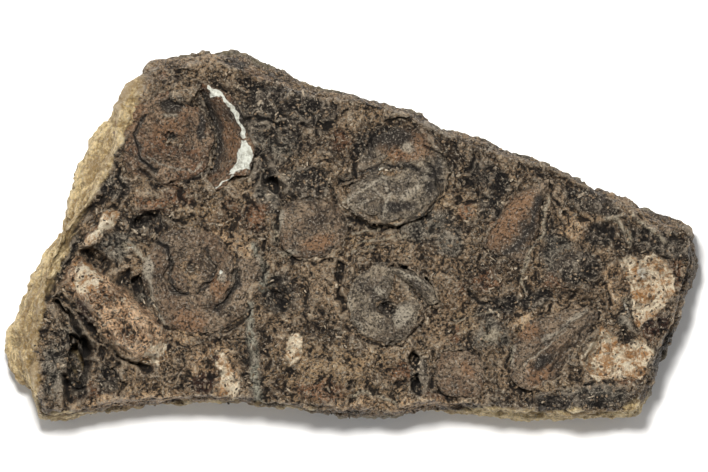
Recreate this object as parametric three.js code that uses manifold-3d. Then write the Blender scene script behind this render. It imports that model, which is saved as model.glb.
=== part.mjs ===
// Fossil ammonite cluster: a slab of limestone with a dark, rough crust on its upper face.
// Four coiled ammonites and four broken shells sit in sockets of the crust, as they were buried.
// The slab lies on its back. Millimetres, +Z up, +X along the slab's length.
// The origin is under the middle of the slab, on the surface that it lies on.
import * as THREE from "three";
import { mergeVertices } from "three/addons/utils/BufferGeometryUtils.js";
import { ImprovedNoise } from "three/addons/math/ImprovedNoise.js";
import Module from "manifold-3d";

const wasm = await Module();
wasm.setup();
const noise = new ImprovedNoise();

// Driving dimensions of the slab.
const CRUST = 28; // height of the crust's upper face
const WIDEST_AT = 0.4; // share of the height where the sides stand out furthest
const FOOT_INSET = 3.5; // how far the sides draw in from there to the flat back
const SIDE_ROUGHNESS = 1.3; // deepest hollow of the broken sides
const GAP = 0.35; // clearance of a fossil in its socket
const MOUTH_ROOM = 0.015; // the socket runs on past a coil's mouth by this share of a turn
const SAWN_OFF = 1; // how far the rough block reaches below its flat back
const SAW = { x: 220, y: 130 };
const CELLS = { along: 42, across: 24, down: 4 };

// The four sides, each from left to right or from front to back.
// A row is a corner where the side is widest, x and y, then the crust's edge above it, x and y.
const FRONT = [
  [-87, -51, -86, -48.5],
  [-80, -51, -79.5, -49],
  [-71.5, -48.5, -71.5, -46.5],
  [-64, -47.5, -64, -45.5],
  [-50.5, -46, -50.5, -44.5],
  [-25, -46.5, -25, -45.5],
  [-4.5, -50, -4.5, -48],
  [11, -50, 11, -48.5],
  [19.5, -48, 19.5, -46],
  [33.5, -49.5, 33.5, -47],
  [46, -51, 46, -48],
  [59, -50.5, 59, -48.5],
  [78.5, -50, 77.5, -48.5],
];
const BACK = [
  [-56.5, 46, -55.5, 44.5],
  [-45.5, 49.5, -45.5, 47.5],
  [-36.5, 51, -36, 48],
  [-33, 51, -31, 46],
  [-27.5, 49, -26, 43.5],
  [-16, 43, -16.5, 39.5],
  [-8, 40, -8, 38],
  [1.5, 38.5, 1.5, 37.5],
  [15, 34.5, 15, 33],
  [26.5, 29, 26, 27.5],
  [53.5, 19.5, 53.5, 18],
  [64.5, 14, 64.5, 12.5],
  [84, 5.5, 83, 4],
  [93, 2, 92, 1],
];
const LEFT = [
  [-87, -51, -86, -48.5],
  [-88.5, -41, -87.5, -40],
  [-94, -39, -86, -35],
  [-95, -30, -86, -26],
  [-92, -18, -87, -18],
  [-86.5, -8, -84.5, -8],
  [-81, 2, -79, 2],
  [-78.5, 11, -74, 9],
  [-74, 21, -69, 18],
  [-69, 30.5, -65, 26],
  [-61.5, 38.5, -60.5, 36],
  [-56.5, 46, -55.5, 44.5],
];
const RIGHT = [
  [78.5, -50, 77.5, -48.5],
  [83, -41.5, 81.5, -40],
  [85, -35, 84, -33],
  [89.5, -25, 88, -22.5],
  [92, -17, 91, -14],
  [95, -7.5, 93, -7.5],
  [94, -3, 92.5, -3],
  [93, 2, 92, 1],
];

// Broad forms of the crust: middle, half sizes, turn in degrees, and how far each rises or sinks.
const LUMPS = [
  { at: [-65, -23], size: [20, 10], turn: -48, rise: 5 }, // the pale nodule
  { at: [-83, -40], size: [7, 12], turn: 5, rise: 2 },
  { at: [-84, -14], size: [4, 12], turn: -25, rise: 1.5 },
  { at: [-71, 1], size: [11, 3], turn: 48, rise: 2.5 }, // the pale stick of shell
  { at: [-60, 38], size: [9, 6], turn: 40, rise: 1.5 },
  { at: [-30, 38], size: [15, 7], turn: -15, rise: 1.5 },
  { at: [-20, 24], size: [8, 10], turn: 0, rise: -2.5 },
  { at: [-27.5, -25], size: [3, 22], turn: 3, rise: 2 }, // the upright vein
  { at: [-22, -20], size: [7, 7], turn: 0, rise: -2 },
  { at: [27, -2], size: [5, 5], turn: 0, rise: 2 },
  { at: [37, -26], size: [8, 7], turn: 20, rise: 2.5 },
  { at: [62, -8], size: [15, 11], turn: 20, rise: 2.5 },
  { at: [66, 7], size: [9, 6], turn: -40, rise: 2 }, // the banded shell at the back edge
  { at: [85, -2], size: [10, 6], turn: -20, rise: 2.5 },
  { at: [80, -14], size: [8, 9], turn: 0, rise: -2.5 }, // crust broken off the pale rock
  { at: [71, -32], size: [10, 7], turn: 20, rise: -2.5 },
  { at: [86, -26], size: [5, 7], turn: -20, rise: 2 },
  { at: [0, -37], size: [16, 7], turn: 5, rise: 1.5 },
];

// Deep holes and clefts: middle, half sizes and depth, turn in degrees.
const PITS = [
  { at: [-77, -35], size: [2.6, 9.5], depth: 11, turn: 6 },
  { at: [-80.5, -22], size: [1.8, 7], depth: 7, turn: 24 },
  { at: [-71, -6], size: [2.6, 2.6], depth: 6, turn: 0 },
  { at: [-59.5, -13.5], size: [2.8, 3.8], depth: 6, turn: -20 },
  { at: [-58, 4], size: [4.6, 2.6], depth: 5, turn: 25 },
  { at: [-67, -39], size: [1.8, 4.5], depth: 5, turn: 35 },
  { at: [-22, 14], size: [2.4, 3.4], depth: 5, turn: 15 },
  { at: [-20.5, -17.5], size: [2.4, 3], depth: 4, turn: 0 },
  { at: [17, -34], size: [1.9, 2.2], depth: 4.5, turn: 0 },
  { at: [17.5, -42], size: [1.8, 3], depth: 4.5, turn: 0 },
];

// The ammonites. at is the middle of the coil, radius runs to the mouth, and growth is the widening in one turn.
// mouth is the direction of the mouth in degrees, and hand is 1 where the coil opens clockwise.
// drift moves the outer turn off the middle, broken is the share of a turn of which only the outer wall is left,
// flat is a whorl's thickness over its width, and rise is how far the coil stands out of the crust.
const AMMONITES = [
  {
    name: "ammonite_upper_left",
    at: [-50.5, 27],
    radius: 22,
    growth: 1.86,
    mouth: -20,
    hand: 1,
    drift: [0, 0],
    turns: 2.2,
    stations: 24,
    broken: 0.23,
    flat: 0.75,
    ribs: 12,
    rise: 2,
    tilt: [-3, 2],
  },
  {
    name: "ammonite_lower_left",
    at: [-46, -10],
    radius: 19.2,
    growth: 1.6,
    mouth: 30,
    hand: -1,
    drift: [2.3, -1.2],
    turns: 2.2,
    stations: 18,
    broken: 0,
    flat: 0.8,
    ribs: 0,
    rise: 1.6,
    tilt: [3, 4],
  },
  {
    name: "ammonite_upper_middle",
    at: [11.5, 20],
    radius: 18.4,
    growth: 1.75,
    mouth: 203,
    hand: 1,
    drift: [0, -1],
    turns: 2,
    stations: 18,
    broken: 0,
    flat: 1.1,
    ribs: 0,
    rise: 4.5,
    tilt: [-14, 0],
  },
  {
    name: "ammonite_lower_middle",
    at: [9.5, -20],
    radius: 14.6,
    growth: 1.63,
    mouth: 0,
    hand: 1,
    drift: [0, 0],
    turns: 2.2,
    stations: 18,
    broken: 0.22,
    flat: 0.8,
    ribs: 0,
    rise: 2,
    tilt: [2, -3],
  },
];
const WHORL = { sides: 6, overlap: 0.93, ribHeight: 0.09, innerShare: 0.6 };
const NUCLEUS = { around: 8, down: 4 }; // the bead at the start of a coil
const BROKEN = { wall: 1.5, floor: 1.2, lap: 0.04 }; // what is left of a broken whorl, and its lap in turns

// The broken shells: middle, half sizes, turn in degrees, thickness, and how far each stands out of the crust.
const SHELLS = [
  { name: "shell_disc_middle", at: [-11, 1], size: [10.5, 9], turn: 0, thick: 7, rise: 1.8, ribs: 0 },
  { name: "shell_flank_right", at: [45, 1], size: [17.5, 7.5], turn: 60, thick: 8, rise: 2.2, ribs: 0 },
  { name: "shell_fan_lower_right", at: [57.5, -30.5], size: [16.5, 7.5], turn: 45, thick: 8, rise: 2.4, ribs: 3 },
  { name: "shell_disc_lower_right", at: [29, -38.5], size: [7.5, 7], turn: 0, thick: 6, rise: 1.5, ribs: 0 },
];
const SHELL = { around: 14, down: 6, ribHeight: 0.12 };
const SKY = 20; // how far a socket is cut open above a fossil's mid-plane
const PIT = { around: 6, down: 5 };

function solidOf(geometry) {
  geometry.deleteAttribute("normal");
  geometry.deleteAttribute("uv");
  const merged = mergeVertices(geometry, 1e-4);
  const vertProperties = merged.attributes.position.array;
  const triVerts = new Uint32Array(merged.index.array);
  return new wasm.Manifold(new wasm.Mesh({ numProp: 3, vertProperties, triVerts }));
}

function geometryOf(solid) {
  const { vertProperties, triVerts } = solid.getMesh();
  const geometry = new THREE.BufferGeometry();
  geometry.setAttribute("position", new THREE.BufferAttribute(vertProperties, 3));
  geometry.setIndex(new THREE.BufferAttribute(triVerts, 1));
  geometry.computeVertexNormals();
  return geometry;
}

// Moves each vertex of a geometry to where the function puts it.
function reshape(geometry, place) {
  const position = geometry.attributes.position;
  for (let i = 0; i < position.count; i++) {
    position.setXYZ(i, ...place(position.getX(i), position.getY(i), position.getZ(i)));
  }
  return geometry;
}

// How far a point is from the middle of a turned oval, 1 on its edge.
function ovalDistance(x, y, { at, size, turn }) {
  const angle = THREE.MathUtils.degToRad(turn);
  const dx = x - at[0];
  const dy = y - at[1];
  const along = dx * Math.cos(angle) + dy * Math.sin(angle);
  const across = dy * Math.cos(angle) - dx * Math.sin(angle);
  return Math.hypot(along / size[0], across / size[1]);
}

// Height of the crust at a place: broad swells, clods, and the lumps and hollows of the list.
function crustHeight(x, y) {
  let z = CRUST + 2.6 * noise.noise(x / 17, y / 17, 3.1) + 2.4 * noise.noise(x / 6, y / 6, 8.7);
  for (const lump of LUMPS) {
    const inside = 1 - ovalDistance(x, y, lump);
    z += lump.rise * THREE.MathUtils.smoothstep(inside, 0, 0.55);
  }
  return z;
}

// The path along a side; from picks the widest line or the crust's edge.
function sidePath(side, from) {
  const corners = side.map((row) => new THREE.Vector2(row[from], row[from + 1]));
  const path = new THREE.CurvePath();
  for (let i = 1; i < corners.length; i++) path.add(new THREE.LineCurve(corners[i - 1], corners[i]));
  return path;
}

// The four sides at one level meet in a sheet: u runs from left to right, v from front to back.
function sheetPoint(u, v, [front, back, left, right]) {
  const term = (path, at, share) => path.getPoint(at).multiplyScalar(share);
  return term(front, u, 1 - v)
    .add(term(back, u, v))
    .add(term(left, v, 1 - u))
    .add(term(right, v, u))
    .sub(term(front, 0, (1 - u) * (1 - v)))
    .sub(term(front, 1, u * (1 - v)))
    .sub(term(back, 0, (1 - u) * v))
    .sub(term(back, 1, u * v));
}

// The rock block, from a box whose cells are laid on the sheet; w runs from the back face to the crust.
function makeBlock() {
  const box = new THREE.BoxGeometry(1, 1, 1, CELLS.along, CELLS.across, CELLS.down);
  const sides = [FRONT, BACK, LEFT, RIGHT];
  const widestSides = sides.map((side) => sidePath(side, 0));
  const edgeSides = sides.map((side) => sidePath(side, 2));
  return reshape(box, (bx, by, bz) => {
    const [u, v, w] = [bx + 0.5, by + 0.5, bz + 0.5];
    const widest = sheetPoint(u, v, widestSides);
    const edge = sheetPoint(u, v, edgeSides);
    const foot = widest.clone().multiplyScalar(1 - FOOT_INSET / widest.length());
    const spot =
      w < WIDEST_AT
        ? foot.lerp(widest, Math.sin((Math.PI / 2) * (w / WIDEST_AT)))
        : widest.clone().lerp(edge, (w - WIDEST_AT) / (1 - WIDEST_AT));
    if (w > WIDEST_AT && w < 1) {
      const dent = SIDE_ROUGHNESS * (0.5 + 0.5 * noise.noise(spot.x / 7, spot.y / 7, 9 * w));
      spot.multiplyScalar(1 - dent / spot.length());
    }
    return [spot.x, spot.y, w * crustHeight(edge.x, edge.y) - (w ? 0 : SAWN_OFF)];
  });
}

// The block, cut off flat where it lies.
function makeSlab() {
  const below = new THREE.BoxGeometry(SAW.x, SAW.y, 2 * SAWN_OFF).translate(0, 0, -SAWN_OFF);
  return solidOf(makeBlock()).subtract(solidOf(below));
}

// Half the width of a whorl where its outer edge is this far from the axis.
function halfWidth({ growth }, outer) {
  return (outer / 2) * (1 - WHORL.overlap / growth);
}

// One stretch of a coil, from and to in turns back from the mouth, in the coil's own frame with its axis along z.
// gap makes the section larger all round; inward and up shift it towards the axis and along it.
function whorl(ammonite, from, to, { gap = 0, inward = 0, up = 0 } = {}) {
  const stations = Math.max(2, Math.round((to - from) * ammonite.stations * (from < 1 ? 1 : WHORL.innerShare)));
  const ribs = from < 1 ? ammonite.ribs : 0;
  const tube = new THREE.CylinderGeometry(1, 1, 1, WHORL.sides, stations, false, Math.PI / 2);
  const mouth = THREE.MathUtils.degToRad(ammonite.mouth);
  const moved = reshape(tube, (sx, sy, sz) => {
    const back = from + (to - from) * (0.5 - sy);
    const shrink = ammonite.growth ** -back;
    const outer = ammonite.radius * shrink;
    const half = halfWidth(ammonite, outer);
    const rib = ribs ? 1 + WHORL.ribHeight * Math.cos(2 * Math.PI * ribs * back) : 1;
    const r = outer - half - inward - (half + gap) * sx * ammonite.hand;
    const angle = mouth + ammonite.hand * 2 * Math.PI * back;
    const x = ammonite.drift[0] * shrink + r * Math.cos(angle);
    const y = ammonite.drift[1] * shrink + r * Math.sin(angle);
    return [x, y, up + (half * ammonite.flat * rib + gap) * sz];
  });
  return solidOf(moved);
}

// A coil in half turns, each closed, so that overlapping whorls can be joined.
function coil(ammonite, from, to, section) {
  const pieces = [];
  for (let start = from; start < to; start += 0.5) {
    pieces.push(whorl(ammonite, start, Math.min(start + 0.5, to), section));
  }
  return pieces.reduce((joined, piece) => joined.add(piece));
}

// The whole coil, or where its last stretch is broken, the rest and the outer wall and floor of that stretch.
function makeAmmonite(ammonite) {
  const start = ammonite.radius * ammonite.growth ** -ammonite.turns;
  const bead = new THREE.SphereGeometry(1, NUCLEUS.around, NUCLEUS.down).rotateX(Math.PI / 2);
  bead.scale(start, start, halfWidth(ammonite, start) * ammonite.flat);
  const body = coil(ammonite, ammonite.broken, ammonite.turns).add(solidOf(bead));
  if (!ammonite.broken) return body;
  const stretch = whorl(ammonite, 0, ammonite.broken + BROKEN.lap);
  const hollow = whorl(ammonite, -BROKEN.lap, ammonite.broken, { inward: BROKEN.wall, up: BROKEN.floor });
  return body.add(stretch.subtract(hollow));
}

// The socket of a coil: a mould of its outer turn, a round pit for the inner ones,
// and a shaft of its outline above, so that no rock closes over it.
function ammoniteSocket(ammonite, frame) {
  const { radius, growth, drift, flat, hand } = ammonite;
  const mouth = THREE.MathUtils.degToRad(ammonite.mouth);
  const outline = new THREE.Shape(
    Array.from({ length: ammonite.stations + 1 }, (_, i) => {
      const back = THREE.MathUtils.lerp(-MOUTH_ROOM, 1, i / ammonite.stations);
      const shrink = growth ** -back;
      const angle = mouth + hand * 2 * Math.PI * back;
      const reach = (radius * shrink + GAP) / Math.cos(Math.PI / ammonite.stations);
      return new THREE.Vector2(
        drift[0] * shrink + reach * Math.cos(angle),
        drift[1] * shrink + reach * Math.sin(angle),
      );
    }),
  );
  const shaft = new THREE.ExtrudeGeometry(outline, { depth: SKY, bevelEnabled: false });
  const inner = radius / growth;
  const depth = halfWidth(ammonite, inner) * flat + GAP;
  const pit = new THREE.CylinderGeometry(inner + GAP, inner + GAP, 2 * depth, ammonite.stations);
  pit.rotateX(Math.PI / 2).translate(drift[0] / growth, drift[1] / growth, 0);
  const mould = coil(ammonite, -MOUTH_ROOM, 1, { gap: GAP });
  return mould.add(solidOf(shaft)).add(solidOf(pit)).transform(frame.elements);
}

function makeShell({ size, thick, ribs }, gap = 0) {
  const ball = new THREE.SphereGeometry(1, SHELL.around, SHELL.down);
  ball.rotateX(Math.PI / 2);
  return reshape(ball, (x, y, z) => {
    const rib = ribs ? 1 + SHELL.ribHeight * Math.cos(2 * Math.PI * ribs * y) * (1 - x * x) : 1;
    return [x * (size[0] + gap), y * (size[1] + gap), z * ((thick / 2) * rib + gap)];
  });
}

function shellSocket(shell, frame) {
  const outline = new THREE.Shape().absellipse(0, 0, shell.size[0] + GAP, shell.size[1] + GAP, 0, 2 * Math.PI);
  const shaft = new THREE.ExtrudeGeometry(outline, { depth: SKY, bevelEnabled: false, curveSegments: SHELL.around });
  return solidOf(makeShell(shell, GAP).applyMatrix4(frame)).add(solidOf(shaft.applyMatrix4(frame)));
}

function makePit({ at, size, depth, turn }) {
  const hollow = new THREE.SphereGeometry(1, PIT.around, PIT.down).rotateX(Math.PI / 2);
  hollow.scale(size[0], size[1], depth).rotateZ(THREE.MathUtils.degToRad(turn));
  return solidOf(hollow.translate(at[0], at[1], crustHeight(...at)));
}

const stone = (color, roughness) => new THREE.MeshStandardMaterial({ color, roughness, metalness: 0 });
const finish = {
  matrix: stone(0x6f5f4d, 0.9),
  ammonite: stone(0x7a6552, 0.7),
  shell: stone(0x7d6350, 0.6),
};

const cluster = new THREE.Group();
cluster.name = "fossil_ammonite_cluster";

// Adds a fossil where it lies and gives back its placing, which its socket shares.
function bury(name, geometry, material, at, height, turn, tilt) {
  const fossil = new THREE.Mesh(geometry, material);
  fossil.name = name;
  fossil.position.set(at[0], at[1], height);
  fossil.rotation.set(...[...tilt, turn].map(THREE.MathUtils.degToRad));
  fossil.updateMatrix();
  cluster.add(fossil);
  return fossil.matrix;
}

let matrix = makeSlab();
for (const pit of PITS) matrix = matrix.subtract(makePit(pit));
for (const ammonite of AMMONITES) {
  const height = CRUST + ammonite.rise - halfWidth(ammonite, ammonite.radius) * ammonite.flat;
  const geometry = geometryOf(makeAmmonite(ammonite));
  const frame = bury(ammonite.name, geometry, finish.ammonite, ammonite.at, height, 0, ammonite.tilt);
  matrix = matrix.subtract(ammoniteSocket(ammonite, frame));
}
for (const shell of SHELLS) {
  const height = CRUST + shell.rise - shell.thick / 2;
  const geometry = geometryOf(solidOf(makeShell(shell)));
  const frame = bury(shell.name, geometry, finish.shell, shell.at, height, shell.turn, [0, 0]);
  matrix = matrix.subtract(shellSocket(shell, frame));
}
const slab = new THREE.Mesh(geometryOf(matrix), finish.matrix);
slab.name = "matrix_slab";
cluster.add(slab);

export default cluster;
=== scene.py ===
import math

import bmesh
import bpy
import numpy as np
from mathutils import Euler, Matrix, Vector


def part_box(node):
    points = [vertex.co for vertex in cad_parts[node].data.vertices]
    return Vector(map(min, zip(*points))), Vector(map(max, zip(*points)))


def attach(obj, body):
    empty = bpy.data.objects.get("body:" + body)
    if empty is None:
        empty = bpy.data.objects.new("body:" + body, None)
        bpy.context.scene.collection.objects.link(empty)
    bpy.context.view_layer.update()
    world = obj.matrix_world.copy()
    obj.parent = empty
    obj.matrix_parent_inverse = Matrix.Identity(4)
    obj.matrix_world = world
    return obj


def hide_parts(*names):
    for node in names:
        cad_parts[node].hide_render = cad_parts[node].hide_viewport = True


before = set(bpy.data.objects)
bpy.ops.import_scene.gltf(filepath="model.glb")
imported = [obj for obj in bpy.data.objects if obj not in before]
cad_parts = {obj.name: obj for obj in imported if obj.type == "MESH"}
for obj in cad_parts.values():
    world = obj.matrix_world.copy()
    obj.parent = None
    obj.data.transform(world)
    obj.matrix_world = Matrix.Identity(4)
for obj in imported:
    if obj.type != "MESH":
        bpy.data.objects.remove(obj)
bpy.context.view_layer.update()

# The studio is a plain white floor under one broad, steep light from the slab's sloping long side,
# with pale light all round. The camera looks straight down on the slab, as in the photograph.
MM = 0.001
PHOTO_WIDTH = 708  # pixels
PIXEL = 0.2766 * MM
CAMERA_PLACE = (0, -0.28 * MM, 1.0)
ROOM_LIGHT = 0.38
SOFTBOX_SIDE, SOFTBOX_POWER = 0.18, 25.0
LIGHT_FROM = Vector((-0.08, 0.25, 1.25))
FLOOR_HALF = 3  # metres

scene = bpy.context.scene
scene.view_settings.view_transform = "Standard"
scene.world = bpy.data.worlds.new("pale_room")
scene.world.use_nodes = True
room = scene.world.node_tree.nodes["Background"].inputs
room["Color"].default_value = (1.0, 1.0, 1.0, 1)
room["Strength"].default_value = ROOM_LIGHT


def put(name, data):
    """A new object in the scene, unturned at its origin, with this data."""
    made = bpy.data.objects.new(name, data)
    scene.collection.objects.link(made)
    return made


lens = bpy.data.cameras.new("overhead")
lens.type = "ORTHO"
lens.ortho_scale = PHOTO_WIDTH * PIXEL
scene.camera = put("overhead", lens)
scene.camera.location = CAMERA_PLACE

softbox = bpy.data.lights.new("softbox", "AREA")
softbox.size = SOFTBOX_SIDE
softbox.energy = SOFTBOX_POWER
softbox.color = (1.0, 0.985, 0.955)
lamp = put("softbox", softbox)
lamp.location = LIGHT_FROM
lamp.rotation_euler = LIGHT_FROM.to_track_quat("Z", "Y").to_euler()

paper = bpy.data.materials.new("white_paper")
paper.use_nodes = True
coating = paper.node_tree.nodes["Principled BSDF"].inputs
coating["Base Color"].default_value = (0.94, 0.94, 0.94, 1)
coating["Roughness"].default_value = 0.9
corners = [(x * FLOOR_HALF, y * FLOOR_HALF, 0) for x, y in ((-1, -1), (1, -1), (1, 1), (-1, 1))]
sheet = bpy.data.meshes.new("floor")
sheet.from_pydata(corners, [], [(0, 1, 2, 3)])
sheet.materials.append(paper)
floor = put("floor", sheet)

# The ammonites: shells coiled in a flat spiral and turned to fine brown stone, each whorl lapping the one
# inside it. Each grew by the same share every turn, so one tree of nodes makes them all from that growth,
# and then each is laid in its own place, worn, and cracked as it is in the rock.
AMMONITES = {
    "ammonite_upper_left": dict(
        middle=(-50.5, 27), height=26.2, radius=22, growth=1.86, lap=0.93, start=0.23, turns=3.4, mouth=-20,
        hand=1, drift=(0, 0), flat=0.85, square=0.8, ribs=9, rib=0.12, tilt=(-3, 2), fill=0.25, seed=101,
        stone="red_brown"),
    "ammonite_lower_left": dict(
        middle=(-46, -10), height=26.8, radius=19.2, growth=1.6, lap=0.93, start=0, turns=3.6, mouth=30,
        hand=-1, drift=(2.3, -1.2), flat=0.85, square=0.55, ribs=0, rib=0, tilt=(3, 4), fill=0.42, seed=111,
        stone="brown"),
    "ammonite_upper_middle": dict(
        middle=(11.5, 20), height=28.0, radius=18.4, growth=1.75, lap=0.3, start=0, turns=2.4, mouth=203,
        hand=1, drift=(0, -1), flat=0.85, square=1.0, ribs=0, rib=0, tilt=(-14, 0), fill=0.3, seed=121,
        sunk_from=0.43, sunk_by=2.6, stone="grey"),
    "ammonite_lower_middle": dict(
        middle=(9.5, -20), height=27.5, radius=14.6, growth=1.63, lap=0.38, start=0.22, turns=2.5, mouth=0,
        hand=1, drift=(0, 0), flat=0.56, square=0.7, ribs=0, rib=0, tilt=(2, -3), fill=0.2, seed=131,
        sunk_from=1.03, sunk_by=2.4, stone="grey"),
}
STATIONS, SIDES = 640, 72  # points along a coil and round it
SINK_WITHIN = 0.035  # the share of a turn in which a sunken stretch steps down
SOCKET_KINDS = {float: "Float", int: "Int", 3: "Vector", 4: "Color"}


def add(tree, kind, links=None, **settings):
    """Adds a node. links maps an input's name or number to a value or to another node's output."""
    made = tree.nodes.new(kind)
    for key, value in settings.items():
        setattr(made, key, value)
    for key, value in (links or {}).items():
        if isinstance(value, bpy.types.NodeSocket):
            tree.links.new(value, made.inputs[key])
        else:
            made.inputs[key].default_value = value
    return made


def new_tree(name, kind, inputs, outputs):
    """A node group, its inputs by name, and its output node. Each socket comes with its first value,
    a colour having four numbers and a vector three, or with the name of the kind of thing it carries."""
    tree = bpy.data.node_groups.new(name, kind)
    for side, sockets in (("INPUT", inputs), ("OUTPUT", outputs)):
        for label, value in sockets.items():
            key = len(value) if isinstance(value, tuple) else type(value)
            socket_type = "NodeSocket" + SOCKET_KINDS.get(key, value)
            socket = tree.interface.new_socket(label, in_out=side, socket_type=socket_type)
            if key in SOCKET_KINDS:
                socket.default_value = value
    return tree, tree.nodes.new("NodeGroupInput").outputs, tree.nodes.new("NodeGroupOutput")


def calculator(tree):
    """Two functions that add a sum to this tree and give its result: any sum by name, and a product."""
    def calc(operation, a, b=0.0, c=0.0):
        return add(tree, "ShaderNodeMath", {0: a, 1: b, 2: c}, operation=operation).outputs[0]

    def times(a, b):
        return calc("MULTIPLY", a, b)
    return calc, times


def make_coil_tree():
    tree, given, result = new_tree("ammonite_coil", "GeometryNodeTree", {
        "Radius": 0.02, "Growth": 1.8, "Start": 0.0, "Turns": 2.5, "Lap": 0.93, "Flat": 0.8, "Square": 0.8,
        "Mouth": 0.0, "Hand": 1.0, "Ribs": 0.0, "Rib": 0.0, "Stations": 500, "Sides": 56,
        "Material": "Material"}, {"Geometry": "Geometry"})
    calc, times = calculator(tree)
    grid = add(tree, "GeometryNodeMeshGrid", {"Size X": 1.0, "Size Y": 1.0, "Vertices X": given["Stations"],
                                              "Vertices Y": given["Sides"]})
    spot = add(tree, "ShaderNodeSeparateXYZ", {0: add(tree, "GeometryNodeInputPosition").outputs[0]})
    along = calc("ADD", spot.outputs[0], 0.5)
    around = times(calc("ADD", spot.outputs[1], 0.5), 2 * math.pi)
    back = calc("MULTIPLY_ADD", along, calc("SUBTRACT", given["Turns"], given["Start"]), given["Start"])
    outer = times(given["Radius"], calc("POWER", given["Growth"], times(back, -1.0)))
    lap = calc("SUBTRACT", 1.0, calc("DIVIDE", given["Lap"], given["Growth"]))
    half = times(outer, times(lap, 0.5))
    near_end = calc("MINIMUM", times(along, 40.0), times(calc("SUBTRACT", 1.0, along), 40.0))
    open_by = calc("SUBTRACT", 1.0, calc("MINIMUM", near_end, 1.0))
    taper = calc("SQRT", calc("SUBTRACT", 1.0001, times(open_by, open_by)))
    wide = times(half, calc("SUBTRACT", taper, 0.01))
    out = calc("COSINE", around)
    top = calc("SINE", around)
    squared = times(calc("SIGN", top), calc("POWER", calc("ABSOLUTE", top), given["Square"]))
    wave = calc("COSINE", times(times(back, given["Ribs"]), 2 * math.pi))
    rib = calc("MULTIPLY_ADD", times(wave, given["Rib"]), calc("ABSOLUTE", top), 1.0)
    tall = times(times(wide, given["Flat"]), times(squared, rib))
    reach = calc("ADD", calc("SUBTRACT", outer, half), times(wide, out))
    angle = calc("MULTIPLY_ADD", times(back, given["Hand"]), 2 * math.pi, given["Mouth"])
    place = add(tree, "ShaderNodeCombineXYZ", {0: times(reach, calc("COSINE", angle)),
                                               1: times(reach, calc("SINE", angle)), 2: tall})
    marked = add(tree, "GeometryNodeStoreNamedAttribute", {
        "Geometry": grid.outputs["Mesh"], "Name": "back", "Value": back})
    moved = add(tree, "GeometryNodeSetPosition", {
        "Geometry": marked.outputs[0], "Position": place.outputs[0]})
    real = add(tree, "GeometryNodeRealizeInstances", {"Geometry": moved.outputs[0]})
    clad = add(tree, "GeometryNodeSetMaterial", {"Geometry": real.outputs[0], "Material": given["Material"]})
    tree.links.new(clad.outputs[0], result.inputs[0])
    return tree


def shaped(source, kind, inputs=None, **settings):
    """A plain mesh made by one modifier on another mesh. inputs are those of its tree of geometry nodes."""
    carrier = put("carrier", source)
    modifier = carrier.modifiers.new("shape", kind)
    for key, value in settings.items():
        setattr(modifier, key, value)
    for socket in modifier.node_group.interface.items_tree if inputs else ():
        if socket.in_out == "INPUT" and socket.name in inputs:
            modifier[socket.identifier] = inputs[socket.name]
    bpy.context.view_layer.update()
    made = bpy.data.meshes.new_from_object(carrier.evaluated_get(bpy.context.evaluated_depsgraph_get()))
    bpy.data.objects.remove(carrier)
    return made


def close_up(mesh):
    """Welds a mesh along its seams, fills the small holes at its ends, and turns its faces outward."""
    shape = bmesh.new()
    shape.from_mesh(mesh)
    bmesh.ops.remove_doubles(shape, verts=shape.verts, dist=0.004 * MM)
    bmesh.ops.holes_fill(shape, edges=shape.edges)
    bmesh.ops.recalc_face_normals(shape, faces=shape.faces)
    shape.to_mesh(mesh)
    shape.free()


def closed_mesh(name, points, faces):
    """A closed mesh from points in millimetres and faces."""
    mesh = bpy.data.meshes.new(name)
    mesh.from_pydata(points * MM, [], faces)
    close_up(mesh)
    return mesh


def read(source, name):
    """Three numbers for each item of a mesh, by the name that they are stored under."""
    flat = np.empty(len(source) * 3, np.float32)
    source.foreach_get(name, flat)
    return flat.reshape(-1, 3).astype(float)


def read_points(mesh):
    """The vertices of a mesh, in millimetres."""
    return read(mesh.vertices, "co") / MM


def read_normals(mesh):
    return read(mesh.vertex_normals, "vector")


def write_points(mesh, points):
    mesh.vertices.foreach_set("co", (points * MM).astype(np.float32).ravel())
    mesh.update()


PERMUTATION = np.random.default_rng(5).permutation(256)
SLOPES = np.random.default_rng(6).normal(size=(256, 3))
SLOPES /= np.linalg.norm(SLOPES, axis=1)[:, None]


def scatter_code(cells, seed):
    a = PERMUTATION[(cells[..., 0] + seed * 31) & 255]
    b = PERMUTATION[(a + cells[..., 1]) & 255]
    return PERMUTATION[(b + cells[..., 2]) & 255]


def swell(points, size, seed=0):
    """Smooth rolling noise of about -1 to 1 whose waves are about this many millimetres long."""
    place = points / size
    cell = np.floor(place).astype(np.int64)
    part = place - cell
    ease = part**3 * (part * (part * 6 - 15) + 10)
    total = np.zeros(len(points))
    for corner in np.ndindex(2, 2, 2):
        slope = SLOPES[scatter_code(cell + corner, seed)]
        share = np.prod(np.where(corner, ease, 1 - ease), axis=1)
        total += share * np.einsum("ij,ij->i", slope, part - corner)
    return 1.6 * total


def rough(points, size, seed=0, layers=3, fade=0.5):
    """Noise with finer layers on it."""
    return sum(fade**n * swell(points, size / 2.1**n, seed + n) for n in range(layers))


def ledges(points, size, seed, count=3):
    """Noise cut into flat steps with sharp edges, as broken layers of shell and crust leave."""
    level = (rough(points, size, seed, 2) + 1) * count
    whole = np.floor(level)
    return (whole + smooth_step(level - whole, 0.72, 1.0)) / count - 1


def crests(points, size, seed):
    """Noise with sharp crests, -1 to 1."""
    return 1 - 2 * np.clip(1.5 * np.abs(rough(points, size, seed, 2)), 0, 1)


def warped(points, reach, size, seed):
    """The same points pushed about, so that what is drawn on them gets ragged edges."""
    return points + reach * np.column_stack([swell(points, size, seed + n) for n in range(3)])


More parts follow.
